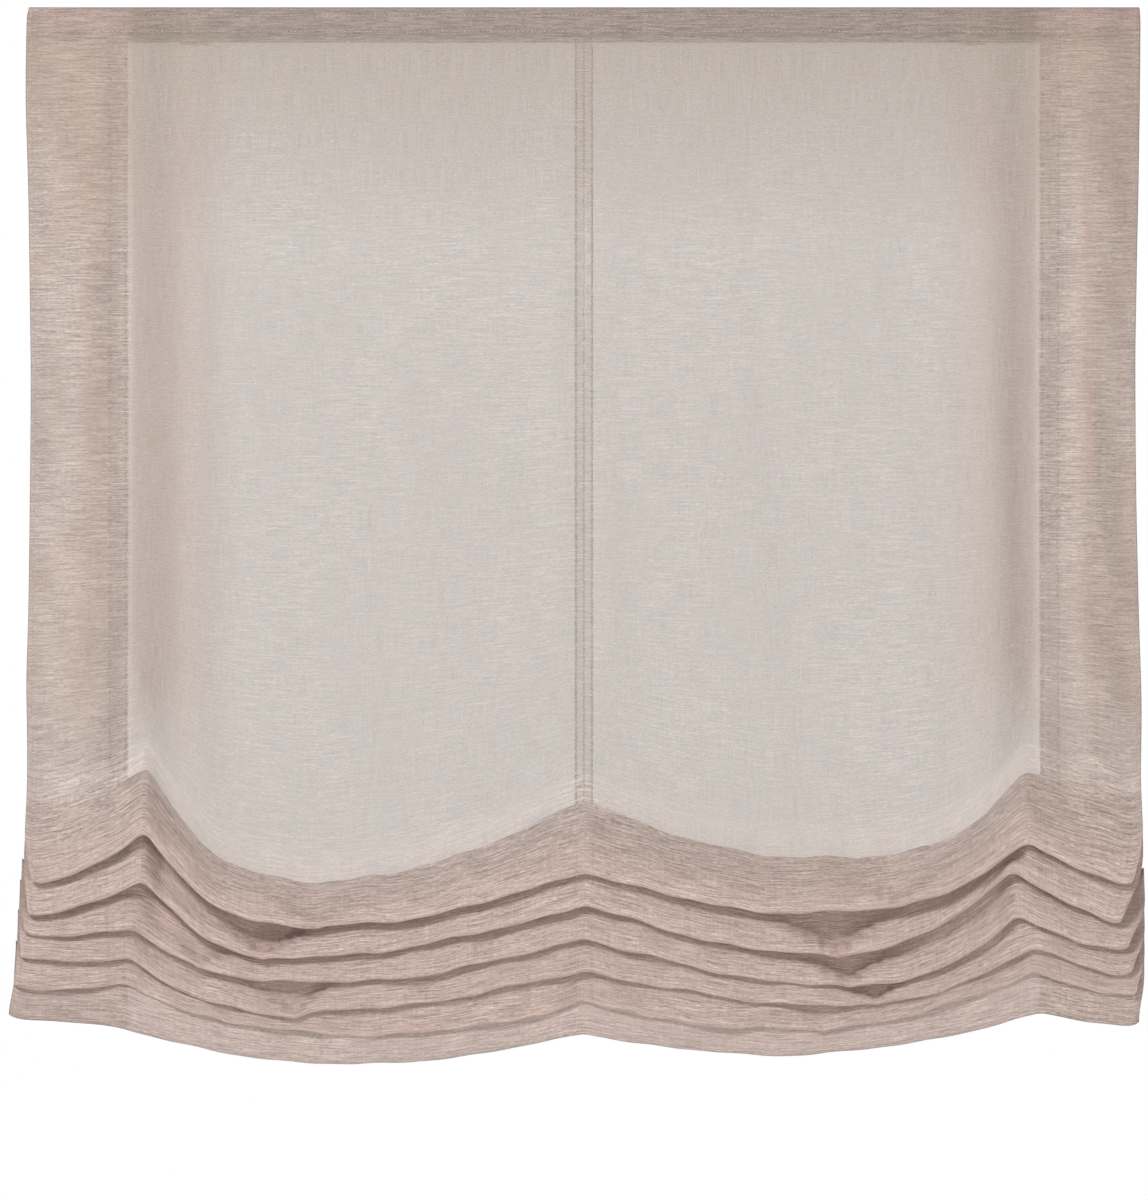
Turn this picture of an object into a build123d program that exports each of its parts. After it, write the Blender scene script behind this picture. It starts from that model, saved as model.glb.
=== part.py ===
from build123d import *
import os
from math import cos, pi, radians, sin

# Relaxed Roman blind: a sheer cloth hung from a headrail by hook-and-loop strip and drawn up
# into five folds by three lift cords. Millimetres. +Z is up, the wall is the plane Y = 0 and the
# room is towards -Y, so "depth" is the distance from the wall. The origin is on the wall at the
# middle of the four bracket screw holes. The blind is shown raised and locked.

os.makedirs("parts", exist_ok=True)

# ---- driving dimensions ------------------------------------------------------------------
WIDTH = 1000.0  # cloth, side to side
FULL_DROP = 1400.0  # cloth lying flat, top to bottom
UPPER_DROP = 700.0  # cloth top to the first lift ring
FOLDS = 5
RING_PITCH = 125.0  # between lift rings along the cloth
FOLD_STEP = 30.0  # between lift rings when raised
FOLD_DEPTH = 7.0  # each raised fold, front to back
CLOTH_THICK = 1.0
SIDE_HEM = 4.0
HEM_THICK = 0.8
OUTER_RISE = 15.0  # fold edges are this much higher at the outer tapes
FIRST_SAG = 50.0  # first fold, middle of a swag under the tapes
LAST_SAG = 28.0  # bottom hem, middle of a swag under the tapes

TAPE_INSET = 81.4  # outer tapes, centre to the side of the cloth
TAPE_WIDTH = 16.5
TAPE_THICK = 0.6

RAIL_HEIGHT = 27.0
RAIL_DEPTH = 22.0
RAIL_WALL = 1.2
RAIL_ROUND = 0.8
RAIL_INSET = 4.0  # cloth side to the outside of the end cap
SLOT_WIDTH = 12.0  # open underside of the rail
FRONT_FLANGE = 2.2
RECESS = 0.4  # seat of the hook strip in the rail's face
HEADER_RISE = 2.7  # cloth above the rail
STRIP_HEIGHT = 20.0
STRIP_THICK = 1.2
STRIP_INSET = 8.0

CAP_FLANGE = 2.0
CAP_SPIGOT = 7.0
CAP_WALL = 1.6

BRACKET_X = 350.0
BRACKET_WIDTH = 26.0
BRACKET_PLATE = 1.5
BRACKET_BEND = 0.6
LIP_REACH = 8.0
TAB_REACH = 19.0
SCREW_SPACING = 13.0
SCREW_HOLE_RADIUS = 2.2
SCREW_SINK_RADIUS = 2.7
CAM_INSET = 3.1  # cam axis, in front of the slot's rear edge
CAM_SHAFT_RADIUS = 2.3
CAM_STUB_RADIUS = 1.7
CAM_HALF_WIDTH = 2.6
CAM_TIP_GAP = 2.2  # cam's tip to the rail's rear wall
CAM_THICK = 2.4
LEVER_REACH = 12.0
LEVER_HALF_WIDTH = 3.6
LEVER_THICK = 1.6

CORD_RADIUS = 0.7
CORD_SPACE = 0.4  # between cords lying side by side on the wheels
TAIL_SPACE = 1.1  # between the pull cords where they hang
KNOT_GROWTH = 0.9  # knot's radius over the cord's
LOCK_INSET = 34.0  # cloth side to where the cords leave the cord lock
TAIL_DEPTH = 15.0
TAIL_SLANT = 8.0  # the pull cords hang this much to the left
TAIL_DROP = 730.0  # rail middle to the top of the pull bell

RING_RADIUS = 6.5  # to the middle of the ring's own section
RING_SECTION = 1.0
ANCHOR_WIDTH = 11.0
ANCHOR_THICK = 3.0
ANCHOR_REACH = 3.0

WHEEL_RADIUS = 4.0
WHEEL_RIM = 0.6
WHEEL_RIM_WIDTH = 0.6
WHEEL_PLAY = 0.1  # outermost cord to the rim
PIN_RADIUS = 1.0
GUIDE_LENGTH = 20.0
GUIDE_BASE = 1.5
GUIDE_PLATE = 1.0
GUIDE_PLATE_LENGTH = 10.0
GUIDE_HEAD = 3.0  # guide plates above the wheel's axis
LOCK_LENGTH = 30.0
ROLLER_RADIUS = 3.0
ROLLER_HALF_WIDTH = 3.0
ROLLER_TRAVEL = 3.0
ROLLER_TILT = 25.0  # the lock roller's slot, from the vertical

BELL_HEIGHT = 28.0
BELL_TOP_RADIUS = 5.5
BELL_FOOT_RADIUS = 8.0
BELL_WALL = 1.6
BELL_WEB = 4.0

SEAT_GAP = 0.2  # parts that rest in each other
RUNNING_GAP = 0.05  # radial, shaft in bore
FIT_GAP = 0.02  # radial, pin pushed into its hole
CORD_GAP = 0.15  # cord over a wheel

# ---- heights and depths worked out from them -----------------------------------------------
cord_spacing = 2 * CORD_RADIUS + CORD_SPACE
tail_spacing = 2 * CORD_RADIUS + TAIL_SPACE
knot_radius = CORD_RADIUS + KNOT_GROWTH
knot_hole_radius = CORD_RADIUS + CORD_GAP
wheel_half_width = cord_spacing + CORD_RADIUS + WHEEL_PLAY + WHEEL_RIM_WIDTH
rail_top = RAIL_HEIGHT / 2
rail_bottom = -RAIL_HEIGHT / 2
rail_floor = rail_bottom + RAIL_WALL
rail_length = WIDTH - 2 * (RAIL_INSET + CAP_FLANGE)
rail_back = BRACKET_PLATE + SEAT_GAP
rail_front = rail_back + RAIL_DEPTH
slot_front = rail_front - FRONT_FLANGE
slot_back = slot_front - SLOT_WIDTH
cam_depth = slot_back + CAM_INSET
cam_reach = cam_depth - rail_back - RAIL_WALL - CAM_TIP_GAP
hook_front = rail_front - RECESS + STRIP_THICK
cloth_back = hook_front + STRIP_THICK
cloth_front = cloth_back + CLOTH_THICK
tape_back = cloth_back - TAPE_THICK
cord_depth = tape_back - RUNNING_GAP * 2 - RING_RADIUS - RING_SECTION
cloth_top = rail_top + HEADER_RISE
first_ring = cloth_top - UPPER_DROP
tape_x = WIDTH / 2 - TAPE_INSET
lock_x = WIDTH / 2 - LOCK_INSET
hem_tail = FULL_DROP - UPPER_DROP - FOLDS * RING_PITCH
wheel_z = rail_floor + GUIDE_BASE + 2 * SEAT_GAP + WHEEL_RADIUS + WHEEL_RIM
cord_bend = WHEEL_RADIUS + CORD_GAP + CORD_RADIUS
cord_line = wheel_z + cord_bend
plate_inner = wheel_half_width + CORD_GAP
bell_x = lock_x - TAIL_SLANT

SIDES = {"left": -1, "centre": 0, "right": 1}
ENDS = {"left": -1, "right": 1}


def ring_z(level):
    """Height of a lift ring, level 0 at the top; the lowest level is the cord's anchor."""
    return first_ring - FOLD_STEP * level


def at_wall_depth(depth):
    """Upright plane facing the room, at that distance from the wall."""
    return Plane.XZ.offset(depth)


# ---- headrail ------------------------------------------------------------------------------
with BuildPart() as headrail:
    with BuildSketch(Plane.YZ.offset(-rail_length / 2)) as rail_section:
        with Locations((-(rail_back + rail_front) / 2, 0)):
            Rectangle(RAIL_DEPTH, RAIL_HEIGHT)
            fillet(rail_section.vertices(), RAIL_ROUND)
            Rectangle(
                RAIL_DEPTH - 2 * RAIL_WALL, RAIL_HEIGHT - 2 * RAIL_WALL, mode=Mode.SUBTRACT
            )
        with Locations((-(slot_back + slot_front) / 2, rail_bottom)):
            Rectangle(SLOT_WIDTH, 3 * RAIL_WALL, mode=Mode.SUBTRACT)
        with Locations((-rail_front, 0)):
            Rectangle(2 * RECESS, STRIP_HEIGHT + SEAT_GAP, mode=Mode.SUBTRACT)
    extrude(amount=rail_length)
headrail.part.label = "headrail"
export_step(headrail.part, "parts/headrail.step")

# ---- end caps: a flange over the rail's end and a hollow spigot inside it --------------------
for side, sign in ENDS.items():
    with BuildPart() as end_cap:
        with BuildSketch(Plane.YZ.offset(sign * rail_length / 2)) as flange:
            with Locations((-(rail_back + rail_front) / 2, 0)):
                Rectangle(RAIL_DEPTH, RAIL_HEIGHT)
            fillet(flange.vertices(), RAIL_ROUND)
        extrude(amount=sign * CAP_FLANGE)
        with BuildSketch(Plane.YZ.offset(sign * rail_length / 2)):
            with Locations((-(rail_back + rail_front) / 2, 0)):
                plug_depth = RAIL_DEPTH - 2 * RAIL_WALL - SEAT_GAP
                plug_height = RAIL_HEIGHT - 2 * RAIL_WALL - SEAT_GAP
                Rectangle(plug_depth, plug_height)
                Rectangle(
                    plug_depth - 2 * CAP_WALL, plug_height - 2 * CAP_WALL, mode=Mode.SUBTRACT
                )
        extrude(amount=-sign * CAP_SPIGOT)
    end_cap.part.label = f"end_cap_{side}"
    export_step(end_cap.part, f"parts/end_cap_{side}.step")

# ---- hook strip on the rail and loop strip on the cloth --------------------------------------
with BuildPart() as hook_strip:
    with BuildSketch(at_wall_depth(rail_front - RECESS)):
        Rectangle(rail_length - STRIP_INSET, STRIP_HEIGHT)
    extrude(amount=STRIP_THICK)
hook_strip.part.label = "hook_strip"
export_step(hook_strip.part, "parts/hook_strip.step")

with BuildPart() as loop_strip:
    with BuildSketch(at_wall_depth(hook_front)):
        Rectangle(WIDTH - 2 * STRIP_INSET, STRIP_HEIGHT)
    extrude(amount=STRIP_THICK)
loop_strip.part.label = "loop_strip"
export_step(loop_strip.part, "parts/loop_strip.step")

# ---- cloth: a thin panel, side hems, and the raised folds stepping back from top to bottom ----


# Each layer: depth of its back, thickness, top, edge at the middle tape, sag of a swag.
hang = (RING_PITCH - FOLD_STEP) / 2
hem_edge = ring_z(FOLDS) - hem_tail
sag_step = (FIRST_SAG - LAST_SAG) / FOLDS
layers = [(cloth_back, CLOTH_THICK, cloth_top, hem_edge, LAST_SAG)]
for fold in range(FOLDS):
    fold_edge = ring_z(fold + 1) - hang
    fold_sag = FIRST_SAG - sag_step * fold
    layers.append((cloth_front, FOLD_DEPTH * (FOLDS - fold), ring_z(fold), fold_edge, fold_sag))

side_x = WIDTH / 2
with BuildPart() as blind_cloth:
    for back, thickness, top, edge, sag in layers:
        peak = edge + OUTER_RISE
        with BuildSketch(at_wall_depth(back)):
            with BuildLine():
                Polyline((-side_x, edge), (-side_x, top), (side_x, top), (side_x, edge))
                Line((side_x, edge), (tape_x, peak))
                ThreePointArc((tape_x, peak), (tape_x / 2, edge - sag), (0, edge))
                ThreePointArc((0, edge), (-tape_x / 2, edge - sag), (-tape_x, peak))
                Line((-tape_x, peak), (-side_x, edge))
            make_face()
        extrude(amount=thickness)
    hem_middle = (cloth_top + hem_edge) / 2
    with BuildSketch(at_wall_depth(cloth_back)):
        with Locations(
            (SIDE_HEM / 2 - side_x, hem_middle),
            (side_x - SIDE_HEM / 2, hem_middle),
        ):
            Rectangle(SIDE_HEM, cloth_top - hem_edge)
    extrude(amount=-HEM_THICK)
blind_cloth.part.label = "blind_cloth"
export_step(blind_cloth.part, "parts/blind_cloth.step")

# ---- gather tapes, lift rings and cord anchors sewn down the back of the cloth ----------------
tape_top = -STRIP_HEIGHT / 2 - SEAT_GAP
tape_bottom = ring_z(FOLDS) - 2 * ANCHOR_THICK
for side, sign in SIDES.items():
    with BuildPart() as gather_tape:
        with BuildSketch(at_wall_depth(tape_back)):
            with Locations((sign * tape_x, (tape_top + tape_bottom) / 2)):
                Rectangle(TAPE_WIDTH, tape_top - tape_bottom)
        extrude(amount=TAPE_THICK)
    gather_tape.part.label = f"gather_tape_{side}"
    export_step(gather_tape.part, f"parts/gather_tape_{side}.step")

    for level in range(FOLDS):
        with BuildPart() as ring:
            with Locations((sign * tape_x, -cord_depth, ring_z(level))):
                Torus(RING_RADIUS, RING_SECTION)
        ring.part.label = f"ring_{side}_{level + 1}"
        export_step(ring.part, f"parts/ring_{side}_{level + 1}.step")

    with BuildPart() as anchor:
        with BuildSketch(Plane.XY.offset(ring_z(FOLDS))) as anchor_outline:
            anchor_front = tape_back - RUNNING_GAP * 2
            anchor_back = cord_depth - cord_spacing - ANCHOR_REACH
            with Locations((sign * tape_x, -(anchor_front + anchor_back) / 2)):
                Rectangle(ANCHOR_WIDTH, anchor_front - anchor_back)
            fillet(anchor_outline.vertices().group_by(Axis.Y)[-1], ANCHOR_REACH)
            with Locations((sign * tape_x, -(cord_depth - sign * cord_spacing))):
                Circle(knot_hole_radius, mode=Mode.SUBTRACT)
        extrude(amount=ANCHOR_THICK, both=False)
    anchor.part.label = f"cord_anchor_{side}"
    export_step(anchor.part, f"parts/cord_anchor_{side}.step")

# ---- wall brackets, each with a cam that clamps the rail and its lever -----------------------
tab_top = rail_bottom - SEAT_GAP
tab_bottom = tab_top - BRACKET_PLATE
lip_bottom = rail_top + SEAT_GAP
lip_top = lip_bottom + BRACKET_PLATE
lever_top = tab_bottom - SEAT_GAP
for side, sign in ENDS.items():
    with BuildPart() as bracket:
        with BuildSketch(Plane.YZ.offset(sign * BRACKET_X - BRACKET_WIDTH / 2)) as bend:
            with BuildLine():
                Polyline(
                    (0, lip_top),
                    (-LIP_REACH, lip_top),
                    (-LIP_REACH, lip_bottom),
                    (-BRACKET_PLATE, lip_bottom),
                    (-BRACKET_PLATE, tab_top),
                    (-TAB_REACH, tab_top),
                    (-TAB_REACH, tab_bottom),
                    (0, tab_bottom),
                    close=True,
                )
            make_face()
            fillet(bend.vertices().group_by(Axis.Y)[-1], BRACKET_BEND)
        extrude(amount=BRACKET_WIDTH)
        with BuildSketch(Plane.XY.offset(tab_bottom)):
            with Locations((sign * BRACKET_X, -cam_depth)):
                Circle(CAM_SHAFT_RADIUS + RUNNING_GAP)
        extrude(amount=BRACKET_PLATE, mode=Mode.SUBTRACT)
        with Locations(at_wall_depth(BRACKET_PLATE)):
            with Locations(
                (sign * BRACKET_X, SCREW_SPACING / 2), (sign * BRACKET_X, -SCREW_SPACING / 2)
            ):
                CounterSinkHole(SCREW_HOLE_RADIUS, SCREW_SINK_RADIUS, depth=BRACKET_PLATE)
    bracket.part.label = f"wall_bracket_{side}"
    export_step(bracket.part, f"parts/wall_bracket_{side}.step")

    with BuildPart() as cam:
        with BuildSketch(Plane.XY.offset(rail_floor + SEAT_GAP)) as cam_head:
            with Locations((sign * BRACKET_X, -cam_depth)):
                Circle(CAM_HALF_WIDTH)
            with Locations((sign * BRACKET_X, -cam_depth + cam_reach / 2)):
                Rectangle(2 * CAM_HALF_WIDTH, cam_reach)
            fillet(cam_head.vertices().group_by(Axis.Y)[-1], CAM_HALF_WIDTH / 2)
        extrude(amount=CAM_THICK)
        with Locations((sign * BRACKET_X, -cam_depth, tab_bottom - SEAT_GAP / 2)):
            Cylinder(
                CAM_SHAFT_RADIUS,
                rail_floor + 2 * SEAT_GAP - tab_bottom,
                align=(Align.CENTER, Align.CENTER, Align.MIN),
            )
        with Locations((sign * BRACKET_X, -cam_depth, lever_top - LEVER_THICK)):
            Cylinder(
                CAM_STUB_RADIUS,
                LEVER_THICK + 2 * SEAT_GAP,
                align=(Align.CENTER, Align.CENTER, Align.MIN),
            )
    cam.part.label = f"clamp_cam_{side}"
    export_step(cam.part, f"parts/clamp_cam_{side}.step")

    with BuildPart() as lever:
        with BuildSketch(Plane.XY.offset(lever_top - LEVER_THICK)) as lever_outline:
            with Locations((sign * BRACKET_X, -cam_depth)):
                Circle(LEVER_HALF_WIDTH)
            with Locations((sign * BRACKET_X, -cam_depth - LEVER_REACH / 2)):
                Rectangle(2 * LEVER_HALF_WIDTH, LEVER_REACH)
            fillet(lever_outline.vertices().group_by(Axis.Y)[0], LEVER_HALF_WIDTH / 2)
            with Locations((sign * BRACKET_X, -cam_depth)):
                Circle(CAM_STUB_RADIUS + FIT_GAP, mode=Mode.SUBTRACT)
        extrude(amount=LEVER_THICK)
    lever.part.label = f"clamp_lever_{side}"
    export_step(lever.part, f"parts/clamp_lever_{side}.step")

# ---- cord guides in the rail's slot, one over each tape, with a wheel on a pin -----------------


def make_carrier(centre_x, length, wheel_x, mouth, plates):
    """Plastic insert on the rail's flanges: base, boss in the slot, mouth and two wheel plates."""
    base_back = rail_back + RAIL_WALL + SEAT_GAP
    base_front = rail_front - RAIL_WALL - SEAT_GAP
    with BuildPart() as carrier:
        with BuildSketch(Plane.XY.offset(rail_floor)):
            with Locations((centre_x, -(base_back + base_front) / 2)):
                Rectangle(length, base_front - base_back)
        extrude(amount=GUIDE_BASE)
        with BuildSketch(Plane.XY.offset(rail_floor)):
            with Locations((centre_x, -(slot_back + slot_front) / 2)):
                Rectangle(length - 2 * SEAT_GAP, SLOT_WIDTH - 2 * SEAT_GAP)
        extrude(amount=-RAIL_WALL)
        with BuildSketch(Plane.XY.offset(rail_floor - RAIL_WALL)):
            with Locations(((mouth[0] + mouth[1]) / 2, -cord_depth)):
                Rectangle(mouth[1] - mouth[0], 2 * (plate_inner - CORD_GAP))
        extrude(amount=RAIL_WALL + GUIDE_BASE, mode=Mode.SUBTRACT)
        plate_height = wheel_z + GUIDE_HEAD - rail_floor
        for plate_depth in (cord_depth - plate_inner, cord_depth + plate_inner + GUIDE_PLATE):
            with BuildSketch(at_wall_depth(plate_depth)):
                with Locations(((plates[0] + plates[1]) / 2, rail_floor + plate_height / 2)):
                    Rectangle(plates[1] - plates[0], plate_height)
            extrude(amount=-GUIDE_PLATE)
        with BuildSketch(at_wall_depth(cord_depth + plate_inner + 2 * GUIDE_PLATE)):
            with Locations((wheel_x, wheel_z)):
                Circle(PIN_RADIUS + FIT_GAP)
        extrude(amount=-2 * plate_inner - 4 * GUIDE_PLATE, mode=Mode.SUBTRACT)
    return carrier


def make_wheel(wheel_x):
    """Wide wheel with a low rim at each end, turning on a pin along Y."""
    with BuildPart() as turning:
        with BuildSketch(at_wall_depth(cord_depth - wheel_half_width)):
            with Locations((wheel_x, wheel_z)):
                Circle(WHEEL_RADIUS)
        extrude(amount=2 * wheel_half_width)
        for rim_depth in (cord_depth - wheel_half_width, cord_depth + wheel_half_width - WHEEL_RIM_WIDTH):
            with BuildSketch(at_wall_depth(rim_depth)):
                with Locations((wheel_x, wheel_z)):
                    Circle(WHEEL_RADIUS + WHEEL_RIM)
            extrude(amount=WHEEL_RIM_WIDTH)
        with BuildSketch(at_wall_depth(cord_depth - wheel_half_width)):
            with Locations((wheel_x, wheel_z)):
                Circle(PIN_RADIUS + RUNNING_GAP)
        extrude(amount=2 * wheel_half_width, mode=Mode.SUBTRACT)
    return turning


def make_pin(pin_x):
    """Pin through both plates of a guide or of the lock."""
    with BuildPart() as pin:
        with BuildSketch(at_wall_depth(cord_depth - plate_inner - GUIDE_PLATE)):
            with Locations((pin_x, wheel_z)):
                Circle(PIN_RADIUS)
        extrude(amount=2 * (plate_inner + GUIDE_PLATE))
    return pin


for side, sign in SIDES.items():
    cord_x = sign * tape_x
    wheel_x = cord_x + cord_bend
    half_plate = GUIDE_PLATE_LENGTH / 2
    guide = make_carrier(
        centre_x=wheel_x - 1,
        length=GUIDE_LENGTH,
        wheel_x=wheel_x,
        mouth=(cord_x - 3 * CORD_RADIUS, cord_x + 3 * CORD_RADIUS),
        plates=(wheel_x - half_plate, wheel_x + half_plate),
    )
    guide.part.label = f"cord_guide_{side}"
    export_step(guide.part, f"parts/cord_guide_{side}.step")

    wheel = make_wheel(wheel_x)
    wheel.part.label = f"guide_wheel_{side}"
    export_step(wheel.part, f"parts/guide_wheel_{side}.step")

    pin = make_pin(wheel_x)
    pin.part.label = f"guide_pin_{side}"
    export_step(pin.part, f"parts/guide_pin_{side}.step")

# ---- cord lock: a wheel that turns the cords down, and a roller that pinches them ------------
lock_wheel_x = lock_x - cord_bend
roller_x = lock_x + CORD_RADIUS + CORD_GAP + ROLLER_RADIUS
travel_x = ROLLER_TRAVEL * sin(radians(ROLLER_TILT))
travel_z = -ROLLER_TRAVEL * cos(radians(ROLLER_TILT))
lock_end = roller_x + travel_x + ROLLER_RADIUS + 2 * GUIDE_PLATE
lock_frame = make_carrier(
    centre_x=lock_end - LOCK_LENGTH / 2 + GUIDE_PLATE,
    length=LOCK_LENGTH,
    wheel_x=lock_wheel_x,
    mouth=(lock_x - 3 * CORD_RADIUS, lock_end - GUIDE_PLATE),
    plates=(lock_wheel_x - GUIDE_PLATE_LENGTH / 2, lock_end),
)
slot_depth = cord_depth + plate_inner + 2 * GUIDE_PLATE
trunnion_slot = Plane(
    origin=(roller_x + travel_x / 2, -slot_depth, wheel_z + travel_z / 2),
    x_dir=(travel_x, 0, travel_z),
    z_dir=(0, 1, 0),
)
with BuildPart() as lock_body:
    add(lock_frame.part)
    with BuildSketch(trunnion_slot):
        SlotCenterToCenter(ROLLER_TRAVEL, 2 * (PIN_RADIUS + RUNNING_GAP))
    extrude(amount=2 * plate_inner + 4 * GUIDE_PLATE, mode=Mode.SUBTRACT)
lock_body.part.label = "cord_lock_body"
export_step(lock_body.part, "parts/cord_lock_body.step")

lock_wheel = make_wheel(lock_wheel_x)
lock_wheel.part.label = "cord_lock_wheel"
export_step(lock_wheel.part, "parts/cord_lock_wheel.step")

lock_pin = make_pin(lock_wheel_x)
lock_pin.part.label = "cord_lock_pin"
export_step(lock_pin.part, "parts/cord_lock_pin.step")

with BuildPart() as roller:
    with BuildSketch(at_wall_depth(cord_depth - ROLLER_HALF_WIDTH)):
        with Locations((roller_x, wheel_z)):
            Circle(ROLLER_RADIUS)
    extrude(amount=2 * ROLLER_HALF_WIDTH)
    with BuildSketch(at_wall_depth(cord_depth - plate_inner - GUIDE_PLATE)):
        with Locations((roller_x, wheel_z)):
            Circle(PIN_RADIUS)
    extrude(amount=2 * (plate_inner + GUIDE_PLATE))
roller.part.label = "cord_lock_roller"
export_step(roller.part, "parts/cord_lock_roller.step")

# ---- pull bell: a hollow cone whose top web holds the three cord ends ------------------------
bell_top = -TAIL_DROP
with BuildPart() as bell:
    with BuildSketch(Plane.XY.offset(bell_top - BELL_HEIGHT)):
        with Locations((bell_x, -TAIL_DEPTH)):
            Circle(BELL_FOOT_RADIUS)
    with BuildSketch(Plane.XY.offset(bell_top)):
        with Locations((bell_x, -TAIL_DEPTH)):
            Circle(BELL_TOP_RADIUS)
    loft()
    fillet(bell.faces().sort_by(Axis.Z)[-1].edges(), BELL_WALL)
    with BuildSketch(Plane.XY.offset(bell_top - BELL_HEIGHT)):
        with Locations((bell_x, -TAIL_DEPTH)):
            Circle(BELL_TOP_RADIUS - BELL_WALL / 2)
    extrude(amount=BELL_HEIGHT - BELL_WEB, mode=Mode.SUBTRACT)
    with BuildSketch(Plane.XY.offset(bell_top - BELL_WEB)):
        for sign in SIDES.values():
            with Locations((bell_x + sign * tail_spacing, -TAIL_DEPTH)):
                Circle(knot_hole_radius)
    extrude(amount=BELL_WEB, mode=Mode.SUBTRACT)
bell.part.label = "pull_bell"
export_step(bell.part, "parts/pull_bell.step")

# ---- lift cords: anchor, rings, guide wheel, along the rail, cord lock, down to the bell -------
anchor_knot_z = ring_z(FOLDS) - knot_radius - RUNNING_GAP
for side, sign in SIDES.items():
    cord_x = sign * tape_x
    cord_y = -(cord_depth - sign * cord_spacing)
    tail_x = lock_x + sign * tail_spacing
    hang_x = tail_x - TAIL_SLANT
    tail_end = bell_top - BELL_WEB - knot_radius - (sign + 1) * 2.2 * knot_radius - RUNNING_GAP
    route = [
        (cord_x, cord_y, anchor_knot_z),
        (cord_x, cord_y, cord_line),
        (lock_x, cord_y, cord_line),
        (lock_x, cord_y, 2 * rail_bottom),
        (tail_x, -TAIL_DEPTH, 5 * rail_bottom),
        (hang_x, -TAIL_DEPTH, bell_top + BELL_HEIGHT),
        (hang_x, -TAIL_DEPTH, tail_end),
    ]
    bends = [cord_bend, cord_bend, 60.0, 60.0, 200.0]
    with BuildPart() as lift_cord:
        with BuildLine() as cord_route:
            FilletPolyline(*route, radius=bends)
        with BuildSketch(Plane(origin=route[0], z_dir=(0, 0, 1))):
            Circle(CORD_RADIUS)
        sweep()
        with Locations(route[0], route[-1]):
            Sphere(knot_radius)
    length = cord_route.wire().length
    volume_length = lift_cord.part.volume / (pi * CORD_RADIUS**2)
    print(f"lift_cord_{side}: {length:.0f} mm long, {volume_length:.0f} mm by volume with its knots")
    lift_cord.part.label = f"lift_cord_{side}"
    export_step(lift_cord.part, f"parts/lift_cord_{side}.step")
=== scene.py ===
import math

import bpy
import numpy as np
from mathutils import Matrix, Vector


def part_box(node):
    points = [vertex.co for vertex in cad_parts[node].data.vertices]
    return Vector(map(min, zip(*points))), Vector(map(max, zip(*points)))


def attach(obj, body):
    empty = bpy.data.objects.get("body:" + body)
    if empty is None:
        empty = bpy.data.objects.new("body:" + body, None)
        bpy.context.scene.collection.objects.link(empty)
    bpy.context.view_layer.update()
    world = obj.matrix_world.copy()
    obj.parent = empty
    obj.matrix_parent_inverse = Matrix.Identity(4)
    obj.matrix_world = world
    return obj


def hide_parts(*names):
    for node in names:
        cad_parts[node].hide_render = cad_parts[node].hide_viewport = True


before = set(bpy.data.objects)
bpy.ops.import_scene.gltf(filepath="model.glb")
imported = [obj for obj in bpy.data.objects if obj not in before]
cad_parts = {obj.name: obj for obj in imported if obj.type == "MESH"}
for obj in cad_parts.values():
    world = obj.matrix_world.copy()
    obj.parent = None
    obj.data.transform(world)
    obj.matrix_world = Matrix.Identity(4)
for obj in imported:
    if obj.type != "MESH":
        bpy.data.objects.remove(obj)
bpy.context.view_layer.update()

MM = 0.001


# ---------------------------------------------------------------- places read from the CAD, in millimetres

def cad_box(node):
    """The node's lowest and highest corner in millimetres."""
    low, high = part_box(node)
    return [v / MM for v in low], [v / MM for v in high]


def middle(node, axis):
    low, high = cad_box(node)
    return (low[axis] + high[axis]) / 2


SIDES = ("left", "centre", "right")
TAPE_X = {side: middle("gather_tape_" + side, 0) for side in SIDES}
TAPE_TOP = cad_box("gather_tape_centre")[1][2]
TAPE_END = cad_box("gather_tape_centre")[0][2]
TAPE_WIDTH = 16.5
TAPE_BACK = -cad_box("gather_tape_centre")[1][1]
CLOTH_TOP = cad_box("blind_cloth")[1][2]
# Driving sizes of the blind.
HALF_WIDTH = 500.0
FULL_DROP = 1400.0
UPPER_DROP = 700.0
RING_PITCH = 125.0
FOLD_COUNT = 5
HEM_DROP = FULL_DROP - UPPER_DROP - FOLD_COUNT * RING_PITCH
BACK_PLANE = 26.2  # depth of the cloth's face where it hangs flat
RING_LEVEL = [middle("ring_centre_%d" % (k + 1), 2) for k in range(FOLD_COUNT)]
FOLD_STEP = RING_LEVEL[0] - RING_LEVEL[1]


# ---------------------------------------------------------------- cut of the cloth, in millimetres

SIDE_HEM = 91.0
HEADER_TURN = 20.0
BOTTOM_TURN = 62.0
LAYER_GAP = 1.3
# How far each bend reaches to either side of the cloth's edge, and where the finest grid ends.
EDGE_BEND, END_BEND = 3, 2
SWAG_END = 395

# Edge heights of the five folds and the hem, top to bottom, against the middle tape's level.
EDGE_REST = [RING_LEVEL[0] - 74 - FOLD_STEP * k for k in range(FOLD_COUNT)]
EDGE_REST.append(EDGE_REST[-1] - 27)
# The peak beside each outer tape: its place, and how far it lies above that level.
LEFT_PEAK = (-391, -393, -404, -408, -408, -414)
RIGHT_PEAK = (396, 384, 387, 402, 402, 410)
LEFT_LIFT = (34, 20, 7, 11, 15, 5)
RIGHT_LIFT = (25, 29, 17, 20, 28, 18)
# The lowest point of each swag: how far below that level, where in its bay as a share from the
# left, and how steeply the edge falls to it from the peak.
LEFT_SAG = (50, 48, 41, 38, 29, 28)
RIGHT_SAG = (38, 45, 43, 31, 24, 20)
LEFT_LOW = (0.39, 0.33, 0.42, 0.36, 0.53, 0.50)
RIGHT_LOW = (0.50, 0.57, 0.60, 0.55, 0.45, 0.43)
STEEP = (3.2, 2.6, 3.0, 2.8, 2.6, 2.2)
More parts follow.
